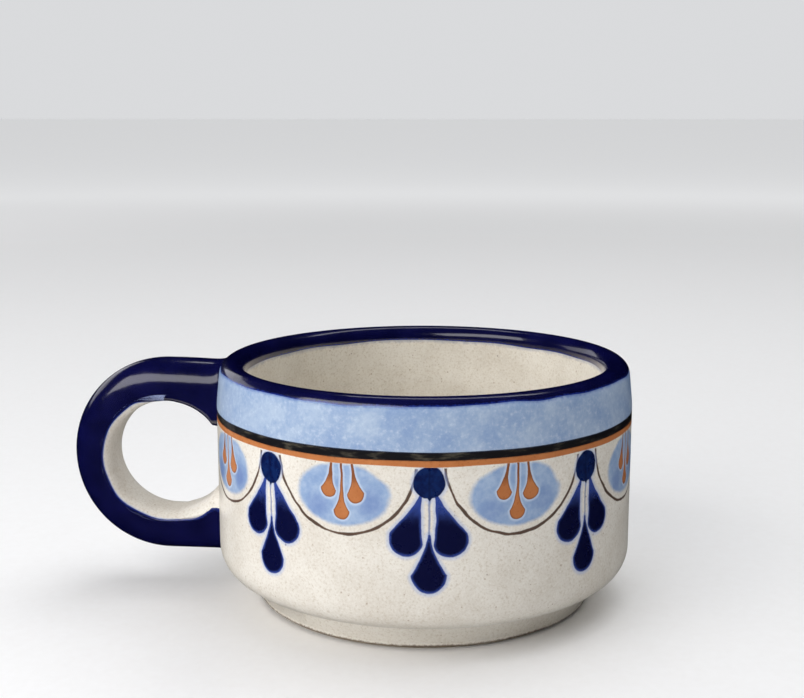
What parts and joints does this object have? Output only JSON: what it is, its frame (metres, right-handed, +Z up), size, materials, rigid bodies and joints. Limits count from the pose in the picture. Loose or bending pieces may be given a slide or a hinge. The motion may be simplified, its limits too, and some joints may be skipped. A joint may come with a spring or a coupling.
{
  "type": "low stoneware mug",
  "caption": "Low wide stoneware mug with a ring handle, cobalt rim and a painted garland of swags and drops on cream glaze, for coffee, tea or soup.",
  "frame": {"origin": "on the cup's axis, in the plane of the foot ring the mug stands on", "axes": "+Z up along the cup's axis, -X towards the handle, -Y the front"},
  "size_m": [0.1375, 0.1004, 0.058],
  "materials": {
    "clay": "matt, unglazed",
    "cream_glaze": "gloss, fine speckle",
    "liner_glaze": "satin gloss, faint throwing rings",
    "cobalt_glaze": "deep gloss",
    "pale_blue": "gloss, mottled wash",
    "dark_line": "gloss, brushed",
    "terracotta": "gloss, brushed",
    "cobalt_paint": "gloss, brushed drops",
    "brown_line": "gloss, fine line",
    "blue_wash": "gloss, feathered wash"
  },
  "bodies": {
    "root": {"body": "clay", "handle": "cream_glaze", "upper_slip_joint": "cobalt_glaze", "lower_slip_joint": "cream_glaze", "liner_glaze": "liner_glaze", "rim_glaze": "cobalt_glaze", "wall_glaze": "cream_glaze", "handle_glaze": "cobalt_glaze", "pale_blue_band": "pale_blue", "dark_line": "dark_line", "terracotta_line": "terracotta", "cobalt_dots": "cobalt_paint", "cobalt_drops": "cobalt_paint", "swag_lines": "brown_line", "oval_washes": "blue_wash", "terracotta_drops": "terracotta"}
  },
  "joints": []
}
